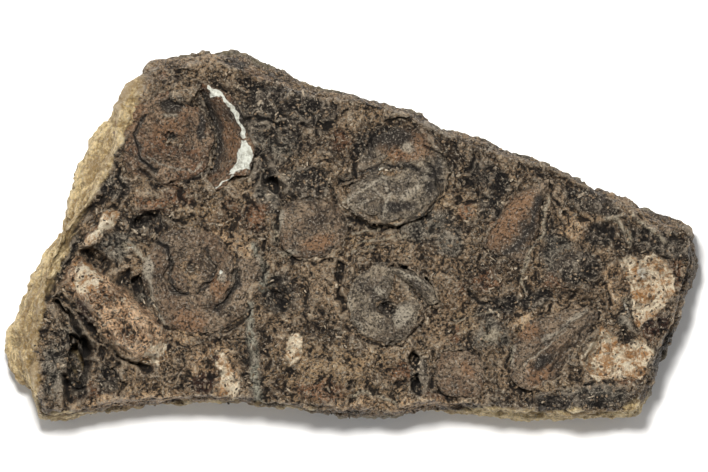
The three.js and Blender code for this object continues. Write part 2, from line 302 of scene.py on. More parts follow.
def knobs(points, size, seed=0):
    """Rounded knobs with sharp creases between them: how far into a knob, and the knob's own number."""
    place = points / size
    cell = np.floor(place).astype(np.int64)
    nearest = np.full(len(points), 9.0)
    second = np.full(len(points), 9.0)
    number = np.zeros(len(points))
    for step in np.ndindex(3, 3, 3):
        home = cell + np.array(step) - 1
        code = scatter_code(home, seed)
        away = np.linalg.norm(place - home - 0.5 - 0.38 * SLOPES[code], axis=1)
        closer = away < nearest
        second = np.where(closer, nearest, np.minimum(second, away))
        number = np.where(closer, code / 255, number)
        nearest = np.where(closer, away, nearest)
    return second - nearest, number


def smooth_step(value, low, high):
    share = np.clip((value - low) / (high - low), 0, 1)
    return share * share * (3 - 2 * share)


def from_line(spots, corners):
    """How far spots are from a line through these corners, in millimetres."""
    best = np.full(len(spots), 1e9)
    corners = np.reshape(corners, (-1, 2))
    for a, run in zip(corners, np.diff(corners, axis=0)):
        share = np.clip(((spots - a) @ run) / (run @ run), 0, 1)
        best = np.minimum(best, np.linalg.norm(spots - a - share[:, None] * run, axis=1))
    return best


def into_patch(spots, corners):
    """How far spots are inside a closed outline, in millimetres; negative outside."""
    ring = np.reshape(corners, (-1, 2))
    inside = np.zeros(len(spots), bool)
    for a, b in zip(ring, np.roll(ring, -1, axis=0)):
        crosses = (a[1] > spots[:, 1]) != (b[1] > spots[:, 1])
        slant = (b[0] - a[0]) / (b[1] - a[1] + 1e-9)
        inside ^= crosses & (spots[:, 0] < a[0] + slant * (spots[:, 1] - a[1]))
    return np.where(inside, 1, -1) * from_line(spots, [*ring, ring[0]])


def in_oval(spots, x, y, long, wide, turn):
    """0 in the middle of a turned oval, 1 on its edge."""
    angle = math.radians(turn)
    away = spots - np.array((x, y))
    along = away @ np.array((math.cos(angle), math.sin(angle)))
    across = away @ np.array((-math.sin(angle), math.cos(angle)))
    return np.hypot(along / long, across / wide)


# Cracks and grooves, which cut fossils and crust alike: half width, depth, and then corners, in millimetres.
# The dark ones start with half the width of the painted shade along them. Ridges of crust and shell have half
# width, height, and half the width of a pale stain along them, if any.
CREVICES = [
    (1.2, 8, -82.5, -18, -79.5, -22, -76.5, -27, -75.5, -31),
    (3.3, 16, -75.5, -31, -75, -34, -76.5, -38, -78, -42), (0.9, 5, -78, -42, -79, -44, -81, -48.5),
    (1.8, 7, -69.5, -32.5, -66.5, -35.5), (0.7, 4, -66.5, -35.5, -64, -40, -66, -44.5),
    (1.2, 4, -70.5, 9, -75.5, 4.5, -81.5, -4, -84.5, -9),
    (0.9, 4, -74.5, -0.5, -77.5, -6, -82.5, -13, -84.5, -17.5), (1.7, 7, -73, -5.5, -69.5, -8.5),
    (2.3, 6, -62, -12, -58.5, -17.5), (2.4, 6, -60.5, 3.5, -55, 2.5),
    (0.9, 3.5, -60, 6.5, -55, 5.5, -49, 4.5, -44, 5), (1.2, 4, -60, 17.5, -56.5, 15, -52.5, 13.5, -48, 13),
    (1.1, 4, -47.5, 12, -46, 9), (1.9, 6, -24, 16, -21, 13), (1, 3, -27, 25, -25, 19, -28, 14),
    (2.4, 5, -22, -15, -19, -19), (1, 5, -3.8, -8, -3.8, -14.5, -3.2, -21),
    (0.5, 3, -2, -25, 2.5, -29.3, 7.5, -30.4, 13.5, -30, 17.5, -26.5, 19.5, -23),
    (0.8, 3.5, -7.5, 13, -5, 7.5, -0.5, 3.5, 6, 1.5, 12.5, 2.5, 19.5, 6, 24, 10), (1, 4, 1.5, 25, 0.2, 18),
    (0.5, 2, -17.5, -6.5, -11, -8, -5.5, -7), (1.3, 6, 17, -33, 17, -36), (1.2, 6, 17.5, -39.5, 17.5, -43),
    (0.5, 3, 22, -37, 22, -42), (0.8, 3, 28, 10, 33, 9.5, 37, 9), (0.8, 2.5, 24, 12, 22, 17, 20, 22),
    (0.6, 3, 32, -15.5, 35.5, -18.3, 41.5, -20.2), (0.5, 2, 36, -4.5, 40.5, -6.5),
    (0.7, 2, 54, 13, 57, 8, 59, 3), (0.45, 1.8, 54, -38, 58, -33, 63, -27),
    (0.6, 1.5, 43, -33, 42.5, -38, 43.5, -42), (1.3, 2.5, 70, 3, 74, -3, 80, -5.5, 86, -5.5),
    (0.9, 3, -36, 9, -33, 4, -34, -1), (0.6, 1.5, -31, 27, -29, 19, -33, 16),
    (0.6, 1.6, -48.5, -29, -44, -30.5, -38, -29.5, -33, -27),
    (0.5, 2, -47.2, -33.5, -47.8, -37, -49, -39.5), (1.5, 4.5, 8.6, -19.4, 10.6, -21),
    (0.6, 2.2, 13, 18.5, 8, 19, 2, 17.5, -4, 15), (0.6, 2.2, 14, 19, 19, 17.5, 24, 14.5),
    (0.9, 3, -2, 34, -8, 30, -14, 31), (0.8, 3, -33, 30, -27, 33, -20, 30),
    (0.7, 2.6, -18, 36, -12, 33, -9, 27), (0.7, 2.4, 33, 22, 30, 17, 33, 13),
    (0.9, 2.6, 60, 8, 64, 3.5, 70, 1), (0.9, 2.4, 63, -12, 69, -14, 72, -20),
    (0.9, 3, -66, 20, -63, 12, -67, 6), (0.35, 0.9, -55, 33, -52, 34.5, -48, 34),
    (0.4, 1, -57, 23, -54, 20.5, -49, 20), (0.8, 3.5, 15.5, -13.5, 18, -17, 19.5, -20),
    (0.35, 1, 33.5, 11, 40, 9, 44, 13), (0.9, 5, -81, -17, -76, -22, -71, -28, -65.5, -33.5, -57, -37),
    (0.5, 1.6, 20, 24, 27, 20, 30, 14), (0.5, 1.6, 64, -41, 70, -40.5, 78, -40, 82, -36),
    (0.5, 1.5, -88, -27, -84, -26, -81, -30),
]
DARK_CREVICES = [
    (0.9, 0.7, 4.2, -54, -2, -51.8, -2.8, -51.5, -4.5, -50.5, -8, -51.5, -11.5, -49.5, -15.5, -46, -16.5),
    (1, 0.9, 3.4, -33, -10, -32, -13.5, -34.5, -16.5, -38, -20.5),
    (0.6, 0.45, 2.6, -43, -16, -39.5, -12.5, -38.5, -8.5, -41, -4),
    (0.8, 0.5, 2.2, -37.5, 24, -38.5, 19.5, -42, 16.5, -47, 15),
    (0.7, 0.55, 2.4, -58, 33, -60.5, 28, -59.5, 22, -55, 17.5),
]
RIDGES = [
    (2, 2.6, 0, -66.5, 5.5, -71, 1.5, -75.5, -2.5),
    (0.8, 1.6, 0, -71.5, 12, -77, 5.5, -83, -3, -86.5, -9.5, -87.3, -15),
    (0.7, 1.6, 0, -73.5, 5.5, -78, -1.5, -82.5, -8.5, -84, -13),
    (0.8, 2, 0.6, -61.5, -2, -58, -7.5, -56.5, -14.5, -54.5, -20.5, -52.5, -25),
    (1.4, 1.6, 1.3, -27, -4.5, -25, -8, -24, -14),
    (1.3, 1.7, 1.1, -29, -21, -28.5, -28, -27.5, -35.5, -27, -42.5, -26, -46),
    (0.5, 1.2, 0.4, -0.5, 0.5, 8.5, 2, 16, 3), (0.5, 1.2, 0.4, 1, -2.5, 7.5, -0.8, 15, -0.2),
    (0.45, 1, 0.4, -1, -4.5, 6, -3.5), (0.45, 1.1, 0.4, 27, -24, 32.5, -22.5, 40.5, -20.8),
    (0.6, 1.7, 0.6, 54, 10.5, 52.5, 5, 53, 0.5, 49.2, -3.5, 47.2, -8.5, 46, -12.5, 47.5, -16.5),
    (0.8, 1.4, 0, 57, 8, 59, 2), (0.8, 1.4, 0, 61.5, 7, 63.5, 0), (0.7, 1.8, 0.6, 70, 4.5, 75, 5.5),
    (0.7, 2.2, 0.6, 72.5, 4, 75.5, 0.5, 76, -3.5), (0.8, 2.2, 0.7, 77.5, 5.5, 81.5, 2, 86.5, -2),
    (1.8, 2, 0, 72, -17, 74.5, -21.5, 76.5, -27), (0.5, 1.1, 0.5, -1, -44.5, 4, -43.6, 9, -45.4, 12, -46.6),
    (0.6, 1.2, 0, -45, 43, -36, 42, -28, 40), (0.6, 1.2, 0, -38, 14, -33, 11, -29, 12),
    (0.6, 1, 0, -33, 13, -30, 8, -31, 3), (0.6, 1, 0, -22, 30, -16, 27, -12, 29),
    (0.6, 1.2, 0, -20, 21, -14, 18, -9, 20), (0.6, 1, 0, 45, -24, 43, -30, 41, -36),
    (0.6, 1, 0, 49, -45, 56, -43, 61, -44), (0.6, 1.2, 0, 86, -22, 88, -27, 85, -33),
    (3.5, 1.8, 0, 37, -27.5, 38.5, -26.5), (2.6, 1.8, 0, 29, -27.2, 29.5, -27),
    (3.6, 2.2, 0, 37, -13, 37.2, -14.5), (2.8, 1.6, 0, 27, -2, 27.2, -2.2),
    (5, 1.4, 0, 56, -7, 62, -9, 68, -8), (5, 0.9, 0, -44, -40, -38, -38),
]
CREVICES += [row[1:] for row in DARK_CREVICES]


def crevice_depth(points):
    """How deep cracks and grooves cut at these points, with ragged sides and an uneven floor."""
    spots = warped(warped(points, 1.3, 5, 44), 0.5, 1.5, 49)[:, :2]
    width = 1 + 0.5 * swell(points, 4, 55)
    floor = np.clip(0.9 + 0.5 * swell(points, 3.2, 57), 0.5, 1.3)
    depth = np.zeros(len(spots))
    for half, deep, *corners in CREVICES:
        reach = from_line(spots, corners) / (half * width)
        depth = np.maximum(depth, deep * floor * (1 - smooth_step(reach, 0.35, 1.4)))
    return depth


def lay(mesh, coil):
    """Moves a coil off its own axis by its drift, tilts it, and lays it in its place."""
    points = read_points(mesh)
    back = np.empty(len(points), np.float32)
    mesh.attributes["back"].data.foreach_get("value", back)
    points[:, :2] += np.array(coil["drift"]) * (coil["growth"] ** -back)[:, None]
    if "sunk_from" in coil:
        edge = coil["sunk_from"]
        points[:, 2] -= coil["sunk_by"] * smooth_step(back, edge, edge + SINK_WITHIN)
    turn = np.array(Euler([math.radians(a) for a in (*coil["tilt"], 0)]).to_matrix())
    write_points(mesh, points @ turn.T + (*coil["middle"], coil["height"]))


def wear(mesh, amount, size, seed, cut):
    """Wears a surface: broad dents, fine roughness, and the cracks that run across it."""
    points, normals = read_points(mesh), read_normals(mesh)
    away = rough(points, size, seed, 4, 0.62)
    away += 0.5 * ledges(warped(points, 0.6, 2, seed), size * 0.6, seed + 3, 2)
    away -= 0.8 * smooth_step(rough(points, size * 0.45, seed + 7, 2), 0.35, 0.8)
    up = smooth_step(normals[:, 2], 0.0, 0.5)
    worn_and_highlit = points + normals * (amount * away)[:, None]
    worn_and_highlit[:, :2] += 0.7 * np.column_stack([swell(points, 5, seed + n) for n in (15, 16)])
    worn_and_highlit[:, 2] -= cut * up * crevice_depth(points)
    write_points(mesh, worn_and_highlit)


def neighbours_mean(mesh, values, rounds):
    """Each vertex's values averaged with its neighbours', so many times over."""
    edges = np.empty(len(mesh.edges) * 2, np.int32)
    mesh.edges.foreach_get("vertices", edges)
    a, b = edges.reshape(-1, 2).T
    count = np.bincount(edges, minlength=len(values))
    for _ in range(rounds):
        total = [np.bincount(a, column[b], len(count)) + np.bincount(b, column[a], len(count))
                 for column in values.T]
        values = 0.5 * values + 0.5 * np.column_stack(total) / count[:, None]
    return values


def paint(mesh, name, values):
    """Stores one number for each vertex under a name that a material reads."""
    layer = mesh.attributes.new(name, "FLOAT", "POINT")
    layer.data.foreach_set("value", np.asarray(values, np.float32))


def paint_hollows(mesh):
    """Stores where the surface lies in a hollow, 0 to 1, with 0.5 on level ground; the materials paint shade
    and highlight by it.
    """
    points, normals = read_points(mesh), read_normals(mesh)
    near = np.einsum("ij,ij->i", neighbours_mean(mesh, points, 4) - points, normals)
    wide = np.einsum("ij,ij->i", neighbours_mean(mesh, points, 40) - points, normals)
    paint(mesh, "hollow", np.clip(0.5 + 0.58 * near + 0.21 * wide, 0, 1))


# What colours the stone, in millimetres: ovals with their middle, half sizes and turn, lines with half their
# width and then their corners, and outlines.
STAINS = {
    "pale": dict(ovals=[
        (13.5, -22.2, 4.2, 3.4, 30), (7, -15.5, 2, 1.4, 0), (-36.5, -11.5, 1.6, 2.4, 0),
        (-21, 3, 1.2, 6, -10), (-17.5, -5, 3, 1.2, 0), (-57, -9, 1.3, 4, 10), (15, 24, 2.5, 2, 0),
        (38, -28, 3, 2.4, 0), (43.5, -33, 1.4, 4, 0), (-63, -3, 2, 1.5, 0), (10, -45.6, 3, 0.7, -15),
        (75.5, -19, 1.2, 2.6, 25)], lines=[
        (0.7, 13.5, -10.5, 17.5, -12, 21.5, -15), (0.6, -3, 9.5, 3, 12.5, 8, 16),
        (0.4, 0, 7.5, 6, 10.5), (0.5, 8, 17, 9.5, 11, 8, 4.5), (0.9, 13, 10, 18, 14, 21, 18),
        (0.4, 2, 14.5, 7, 12, 9, 9), (0.7, 52.5, -29.5, 58, -25, 64.5, -20.5),
        (0.35, 47, -36, 53, -31, 58, -27), (0.35, -48, 19, -44, 17.5, -42, 20),
        (0.35, -57, 22, -53, 19, -48.5, 18.5), (0.45, -52.5, 33.5, -49.5, 33.3),
        (0.4, -1.5, -17, 0, -23, 3, -27)]),
    "white": dict(ovals=[
        (-62, -3.6, 1.1, 0.9, 0), (-36.5, -10.2, 0.8, 0.6, 0), (80, -10.5, 2, 2.6, 20),
        (75.3, -20, 0.6, 1.6, 25), (7.8, 18.5, 0.9, 0.7, 0)], lines=[
        (0.48, -40.2, 40.8, -39, 39.8, -35.8, 37.8, -33, 33.8, -31, 29, -30.5, 27),
        (0.22, -33.5, 17, -36, 14.8, -38.5, 12.5)], outlines=[
        (-40, 41, -36.8, 38.8, -37.6, 38, -39.6, 38.2),
        (-31.2, 26, -30, 26, -28.4, 23.3, -28.9, 18, -33, 17.6, -34.6, 16.8, -32, 20.5, -32.2, 22.5)]),
    "rust": dict(ovals=[
        (-66, -19, 7, 5, -40), (-60, -25, 6, 4, -45), (-71, 1.5, 6, 2.2, 45), (-45, -24, 6, 4, 0),
        (-37, -14, 3, 5, 0), (-35, 5, 4, 6, 0), (-55, 8, 6, 3, -10), (-49, 11, 5, 3, 0),
        (59.5, 2, 1.2, 3.2, 5), (63, 2, 1.2, 3.2, -5), (28, -17, 4, 3, 60), (22, -21.5, 0.8, 1.6, 0),
        (31, 7, 3, 2, 30), (13, -38, 4, 3, 0), (48, -26, 4, 4, 0), (73, -14, 3, 5, 0),
        (88, -12, 2.4, 7, -20), (83, -27, 4, 3, 0), (76, -38, 5, 3, 20), (-62, 32, 3, 7, -35),
        (-17, 36, 4, 2, 0), (-4, 26, 3, 4, 0), (57, -12, 5, 3, 30), (-10, -43, 9, 3, 0),
        (20, -45, 5, 2, 0), (-74, -44, 5, 4, 30), (-51.5, 29, 5, 4, 20), (-10, -2, 6, 2.4, 15),
        (44, 5, 4, 11, -35), (37, -13, 3.4, 4, 0), (51, -38, 5, 3.5, 40), (31, -37, 3, 3, 0),
        (-34, 27, 2.5, 7, 10), (29, -27, 2.4, 2.2, 0), (-27, 5, 3, 5, 0), (14, 25, 9, 5, 0)]),
    # Painted shade: the dark lines in the groove by the upper left coil and the crack over the upper middle
    # one, and the small dark ovals in the coils' middles.
    "dark": dict(ovals=[
        (-77, -35, 4, 13, 8), (-21, -16, 6, 7, 0), (84, -2, 12, 3.6, -20), (68, 0, 5, 4, 0),
        (-25, 18, 5, 7, 15), (66, 9, 10, 4, -24), (-80, -5, 3, 9, -30), (18, -39, 3, 7, 0),
        (-26, 32, 13, 5, -15), (-66, 13, 5, 4, 20), (-42, 30, 1.5, 6, 0), (86, -33, 3, 8, -20),
        (60, -46, 14, 3, 0), (-58, 3, 6, 4, 0), (50, -18, 6, 3, 20), (22, 16, 2, 7, -20),
        (9.5, -20.2, 2.6, 2.4, 0), (13, 19.5, 2.4, 2, 0), (-50.5, 27, 1.3, 1.2, 0), (-13, 14, 8, 6, 0),
        (52, -35, 4, 2, 40), (38, 8, 4, 4, 0), (12, 8, 7, 2, 5), (82, -24, 2.6, 2, 0),
        (-50, 36, 5, 3, 10), (3, 24, 4, 5, 0), (-12, 34, 9, 5, -10), (-68, -40, 4, 5, 0),
        (38, 16, 8, 4, -30), (-45, -9, 2, 2, 0), (10, 27, 9, 4, 0), (-20, 37, 15, 5, -15),
        (62, -9, 8, 6, 0), (40, -20, 9, 3, 20), (-76.5, -37, 3, 8, 8)], lines=[
        (1.9, -41.5, 38.5, -39.6, 34.5, -38, 30.5, -37.3, 26, -37.6, 22, -38.8, 18),
        (0.9, 24, 14.5, 19, 17.5, 14, 19, 8, 19, 2, 17.5, -4, 15),
        (1.4, 51, 10, 49.5, 3, 46, -2, 42, -5)]),
}
STAINS["pale"]["lines"] += [(pale, *corners) for _, _, pale, *corners in RIDGES if pale]
# Each dark crevice gets a dark line along it: painted shade in the crevice.
STAINS["dark"]["lines"] += [(dark, *corners) for dark, _, _, *corners in DARK_CREVICES]
SHELL_MASKS = ("pale", "white", "rust", "dark")
BROAD_STAINS = ("cream", "tan", "nodule", "ochre", "grey", "rust")


def stained(spots, ovals=(), lines=(), outlines=()):
    """0 to 1: how much of a stain covers each spot."""
    layers = [np.zeros(len(spots))]
    layers += [1 - smooth_step(in_oval(spots, *oval), 0.45, 1.25) for oval in ovals]
    layers += [np.exp(-((from_line(spots, corners) / half) ** 2)) for half, *corners in lines]
    layers += [smooth_step(into_patch(spots, corners), -0.5, 0.5) for corners in outlines]
    return np.max(layers, axis=0)


def paint_stains(mesh, names):
    spots = warped(warped(read_points(mesh), 0.9, 3.4, 80), 0.35, 1.2, 84)
    ragged = warped(spots, 1.5, 5, 88)
    for name in names:
        paint(mesh, name, stained((ragged if name in BROAD_STAINS else spots)[:, :2], **STAINS[name]))


def blend_colour(tree, share, first, second, how="MIX"):
    """The colour output of a mix of two colours."""
    mix = add(tree, "ShaderNodeMix", {0: share, 6: first, 7: second}, data_type="RGBA", blend_type=how)
    return mix.outputs[2]


def ramp_share(tree, value, low, high):
    """0 below low, 1 above high, eased between."""
    made = add(tree, "ShaderNodeMapRange", {0: value, 1: low, 2: high}, interpolation_type="SMOOTHSTEP")
    return made.outputs[0]


def clouds(tree, place, scale, detail, roughness, distortion=0.0):
    """The value of a cloudy noise at a place."""
    return add(tree, "ShaderNodeTexNoise", {"Vector": place, "Scale": scale, "Detail": detail,
                                            "Roughness": roughness, "Distortion": distortion}).outputs[0]


def use_group(tree, group, links):
    """The outputs of a node group set into a tree, with its named inputs linked or set."""
    return add(tree, "ShaderNodeGroup", links, node_tree=group).outputs


# Mottling: two tones of one stone in clouds of a given size, with finer clouds on them.
mottle, given, result = new_tree("mottle", "ShaderNodeTree", {
    "Place": (0, 0, 0), "Dark": (0, 0, 0, 1), "Light": (1, 1, 1, 1), "Size": 200.0, "Fine Size": 900.0,
    "Low": 0.3, "High": 0.7}, {"Color": (0, 0, 0, 1), "Share": 0.0})
calc, times = calculator(mottle)
broad = clouds(mottle, given["Place"], given["Size"], 3.0, 0.55)
fine = clouds(mottle, given["Place"], given["Fine Size"], 4.0, 0.7)
both = calc("MULTIPLY_ADD", fine, 0.55, times(broad, 0.45))
tone = ramp_share(mottle, both, given["Low"], given["High"])
mottle.links.new(blend_colour(mottle, tone, given["Dark"], given["Light"]), result.inputs["Color"])
mottle.links.new(tone, result.inputs["Share"])

# Grit: tiny pale and dark grains in the stone, and the height that they give it.
grit, given, result = new_tree("grit", "ShaderNodeTree", {
    "Place": (0, 0, 0), "Color": (1, 1, 1, 1), "Pale": (0.6, 0.55, 0.45, 1), "Size": 2200.0,
    "Pale Amount": 0.5, "Dark Amount": 0.5}, {"Color": (0, 0, 0, 1), "Height": 0.0})
calc, times = calculator(grit)
pale_grains = clouds(grit, given["Place"], given["Size"], 3.0, 0.75, 0.5)
shifted = add(grit, "ShaderNodeVectorMath", {0: given["Place"], 1: (0.37, 0.11, 0.53)}, operation="ADD")
dark_grains = clouds(grit, shifted.outputs[0], times(given["Size"], 0.85), 5.0, 0.7, 0.4)
pale_share = times(ramp_share(grit, pale_grains, 0.55, 0.64), given["Pale Amount"])
dark_share = times(ramp_share(grit, dark_grains, 0.47, 0.60), given["Dark Amount"])
darkened = blend_colour(grit, dark_share, given["Color"], (0.010, 0.007, 0.005, 1))
grit.links.new(blend_colour(grit, pale_share, darkened, given["Pale"]), result.inputs["Color"])
grit.links.new(calc("SUBTRACT", pale_grains, times(dark_grains, 2.2)), result.inputs["Height"])

# Painted shade and highlight: colour painted dark in hollows as shade, and paler on what stands out as a
# highlight.
shade_and_highlight, given, result = new_tree("shade_and_highlight", "ShaderNodeTree", {
    "Color": (1, 1, 1, 1), "Hollow": 0.5, "Shade Colour": (0.008, 0.006, 0.005, 1), "Depth": 0.8, "Highlight": 0.3,
    "Place": (0, 0, 0)}, {"Color": (0, 0, 0, 1)})
calc, times = calculator(shade_and_highlight)
patchy = calc("SUBTRACT", clouds(shade_and_highlight, given["Place"], 1100.0, 4.0, 0.7), 0.5)
patchy = calc("MULTIPLY_ADD", patchy, 0.9, given["Hollow"])
# Painted shade: the colour goes towards near black where the surface lies in a hollow.
sunk = times(ramp_share(shade_and_highlight, patchy, 0.52, 0.80), given["Depth"])
# Painted highlight: the colour is screened paler where the surface stands out.
worn_and_highlit = times(ramp_share(shade_and_highlight, given["Hollow"], 0.42, 0.0), given["Highlight"])
highlighted = blend_colour(shade_and_highlight, worn_and_highlit, given["Color"], (0.5, 0.41, 0.30, 1), "SCREEN")
shade_and_highlight.links.new(blend_colour(shade_and_highlight, sunk, highlighted, given["Shade Colour"]), result.inputs["Color"])


def mask(tree, name):
    return add(tree, "ShaderNodeAttribute", attribute_name=name).outputs["Fac"]


def stone_material(name, roughness, bump, colour_of):
    """A stone whose colour and height come from colour_of, which is given the tree and the place."""
    made = bpy.data.materials.new(name)
    made.use_nodes = True
    tree = made.node_tree
    shader = tree.nodes["Principled BSDF"]
    shader.inputs["Roughness"].default_value = roughness
    shader.inputs["Specular IOR Level"].default_value = 0.28
    place = add(tree, "ShaderNodeTexCoord").outputs["Object"]
    colour, height = colour_of(tree, place)
    tree.links.new(colour, shader.inputs["Base Color"])
    relief = add(tree, "ShaderNodeBump", {"Height": height, "Strength": 1.0, "Distance": bump * MM})
    tree.links.new(relief.outputs[0], shader.inputs["Normal"])
    return made


def tones(tree, place, dark, light, size, fine_size, low=0.43, high=0.585):
    """Two tones of stone mottled together."""
    return use_group(tree, mottle, {"Place": place, "Dark": (*dark, 1), "Light": (*light, 1), "Size": size,
                                    "Fine Size": fine_size, "Low": low, "High": high})["Color"]


def layered(tree, place, colour, layers):
    """A colour with others over it, each a plain colour or two tones, from low to high on its mask."""
    for name, low, high, *stone in layers:
        other = tones(tree, place, *stone) if len(stone) > 1 else (*stone[0], 1)
        colour = blend_colour(tree, ramp_share(tree, mask(tree, name), low, high), colour, other)
    return colour


def weathered_and_shaded(tree, place, colour, pale, pale_amount, dark_amount, depth, highlight_amount, lime):
    """A colour with grit, painted shade in hollows, painted highlight on what stands out, white lime; and the
    grit's height.
    """
    gritty = use_group(tree, grit, {"Place": place, "Color": colour, "Pale": pale, "Size": 1500.0,
                                    "Pale Amount": pale_amount, "Dark Amount": dark_amount})
    shaded_and_highlit = use_group(tree, shade_and_highlight, {"Color": gritty["Color"], "Hollow": mask(tree, "hollow"),
                                     "Place": place, "Depth": depth, "Highlight": highlight_amount})["Color"]
    return layered(tree, place, shaded_and_highlit, [lime]), gritty["Height"]


# The dark layer colours darker stone, and painted shade in grooves and pits.
SHELL_LAYERS = [("rust", 0.0, 1.3, (0.25, 0.140, 0.074)), ("dark", 0.1, 1.1, (0.030, 0.025, 0.021)),
                ("pale", 0.15, 1.3, (0.40, 0.35, 0.27))]
SHELL_LIME = ("white", 0.35, 0.65, (0.44, 0.43, 0.36), (0.78, 0.79, 0.70), 300.0, 1200.0, 0.36, 0.58)


def shell_colours(dark, light, patch):
    """The colours of fossil shell: two tones of stone, patches of a third, stains with painted shade in its
    grooves, and painted shade and highlight by its hollows.
    """
    def colour_of(tree, place):
        stone = tones(tree, place, dark, light, 160.0, 1100.0, 0.42, 0.58)
        spots = use_group(tree, mottle, {"Place": place, "Size": 90.0, "Fine Size": 500.0, "Low": 0.46,
                                         "High": 0.62})
        colour = blend_colour(tree, spots["Share"], stone, (*patch, 1))
        colour = layered(tree, place, colour, SHELL_LAYERS)
        return weathered_and_shaded(tree, place, colour, (0.50, 0.44, 0.36, 1), 0.5, 0.9, 0.92, 0.22, SHELL_LIME)
    return colour_of


SHELL_STONES = {
    name: stone_material(name + "_shell", roughness, bump, shell_colours(*colours))
    for name, roughness, bump, *colours in (
        ("red_brown", 0.6, 0.6, (0.060, 0.038, 0.024), (0.32, 0.220, 0.140), (0.185, 0.095, 0.050)),
        ("brown", 0.56, 0.55, (0.055, 0.039, 0.027), (0.285, 0.210, 0.140), (0.17, 0.108, 0.066)),
        ("grey", 0.56, 0.55, (0.062, 0.050, 0.038), (0.33, 0.270, 0.192), (0.13, 0.098, 0.068)),
    )
}


def finished(name, mesh, material, node=None):
    """Puts a finished mesh in the scene, in place of its node if it has one."""
    mesh.materials.clear()
    mesh.materials.append(material)
    mesh.shade_smooth()
    piece = put(name, mesh)
    if node:
        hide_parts(node)
    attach(piece, "root")
    return piece


def finished_shell(name, mesh, wearing, stone, node=None):
    """Wears a mesh, paints what its stone shows, and finishes it. wearing is what wear is given."""
    wear(mesh, *wearing)
    paint_stains(mesh, SHELL_MASKS)
    paint_hollows(mesh)
    finished(name, mesh, SHELL_STONES[stone], node)


coil_tree = make_coil_tree()
for name, coil in AMMONITES.items():
    inputs = {key.title(): float(value) for key, value in coil.items() if isinstance(value, (int, float))}
    inputs.update({"Radius": coil["radius"] * MM, "Mouth": math.radians(coil["mouth"]), "Stations": STATIONS,
                   "Sides": SIDES, "Material": SHELL_STONES[coil["stone"]]})
    mesh = shaped(bpy.data.meshes.new("empty"), "NODES", inputs, node_group=coil_tree)
    close_up(mesh)
    lay(mesh, coil)
    finished_shell(name + "_shell", mesh, (0.62, 3.6, coil["seed"], 0.85), coil["stone"], name)

# What is left of the whorls that broke away: the outer wall of the shell, hollow side in,
# with a white edge on the upper left coil. Each row has its height and then its corners.
UPPER_LEFT_WALL = [
    (29.6, -42, 42, -39, 41, -35, 38.8, -31.5, 34, -29.4, 28, -27.6, 23, -28.4, 17, -33.5, 15.5, -38, 12),
    (30.4, -42, 41.5, -39.3, 40, -36, 38, -32.4, 33.6, -30.4, 28, -28.6, 23, -29.6, 18, -34, 16.4,
     -38.4, 12.8),
    (29.2, -42, 40.5, -39.8, 39, -36.8, 36.4, -33.6, 33, -32, 28, -31.2, 23, -32.4, 18.8, -35.4, 16.6,
     -38.8, 13.4),
    (26.2, -42, 40, -40.4, 38, -37.6, 35, -35.4, 32, -34, 27.5, -33.6, 23, -34.8, 19.4, -37, 16.8,
     -39.4, 14),
    (22.8, -42.4, 39.5, -40.8, 37.4, -38.6, 34.4, -36.8, 31, -36, 27, -35.8, 23, -36.8, 19.8, -38.4, 17,
     -40, 14.6),
    (19.5, -43, 39, -41.6, 36.8, -40, 33.8, -38.8, 30.5, -38.4, 27, -38.4, 23.4, -39, 20.4, -40.2, 17.6,
     -41, 15.2),
]
LOWER_MIDDLE_WALL = [
    (28.2, 11, -8.6, 15, -9.4, 19, -12, 22.4, -15.6, 24, -19),
    (29.9, 11, -9.4, 14.6, -10.4, 18.2, -13, 21.4, -16.2, 23, -19.2),
    (29.5, 11, -10.6, 14, -11.8, 17.2, -14.2, 20, -17, 21.6, -19.6),
    (26.6, 11, -11.4, 13.6, -12.8, 16.4, -15.2, 18.9, -17.6, 20.6, -20),
]
WALL_THICKNESS = 1.6
WALL_CELLS = (220, 70)  # along and across


def eased(p0, p1, p2, p3, t):
    """A smooth curve from p1 to p2 as t runs from 0 to 1, with p0 before them and p3 after."""
    straight = 2 * p1 + (p2 - p0) * t
    return 0.5 * (straight + (2 * p0 - 5 * p1 + 4 * p2 - p3) * t**2 + (3 * (p1 - p2) + p3 - p0) * t**3)


def through(values, count):
    """Values eased into this many along their first axis, through every one of them."""
    values = np.concatenate([values[:1] * 2 - values[1:2], values, values[-1:] * 2 - values[-2:-1]])
    at = np.linspace(0, len(values) - 3 - 1e-9, count)
    k = at.astype(int)
    t = (at - k).reshape(-1, *[1] * (values.ndim - 1))
    return eased(*(values[k + n] for n in range(4)), t)


def wall_grid(rows, along, across):
    """A fine grid of points through rows of corners, each row at its own height."""
    corners = np.array([[(x, y, high) for x, y in zip(row[::2], row[1::2])] for high, *row in rows], float)
    return np.swapaxes(through(np.swapaxes(through(corners, across), 0, 1), along), 0, 1)


def closed_sheet(name, grid, thick):
    """A closed sheet of this thickness under a grid of points, thin at its edges."""
    a, b = grid.shape[:2]
    normal = np.cross(np.gradient(grid, axis=1), np.gradient(grid, axis=0))
    normal /= np.linalg.norm(normal, axis=2)[..., None] + 1e-9
    normal *= -1 if normal[..., 2].mean() < 0 else 1
    i, j = np.indices((a, b))
    rim = np.minimum.reduce([i, a - 1 - i, j, b - 1 - j])
    under = grid - normal * (thick * np.clip(0.25 + rim / 4, 0, 1))[..., None]
    index = np.arange(a * b).reshape(a, b)
    quads = np.stack([index[:-1, :-1], index[:-1, 1:], index[1:, 1:], index[1:, :-1]], axis=-1).reshape(-1, 4)
    edge = np.array([*index[0, :-1], *index[:-1, -1], *index[-1, :0:-1], *index[:0:-1, 0]])
    after = np.roll(edge, -1)
    skirt = np.column_stack([after, edge, edge + a * b, after + a * b])
    faces = np.vstack([quads, quads[:, ::-1] + a * b, skirt])
    return closed_mesh(name, np.vstack([grid.reshape(-1, 3), under.reshape(-1, 3)]), faces.tolist())


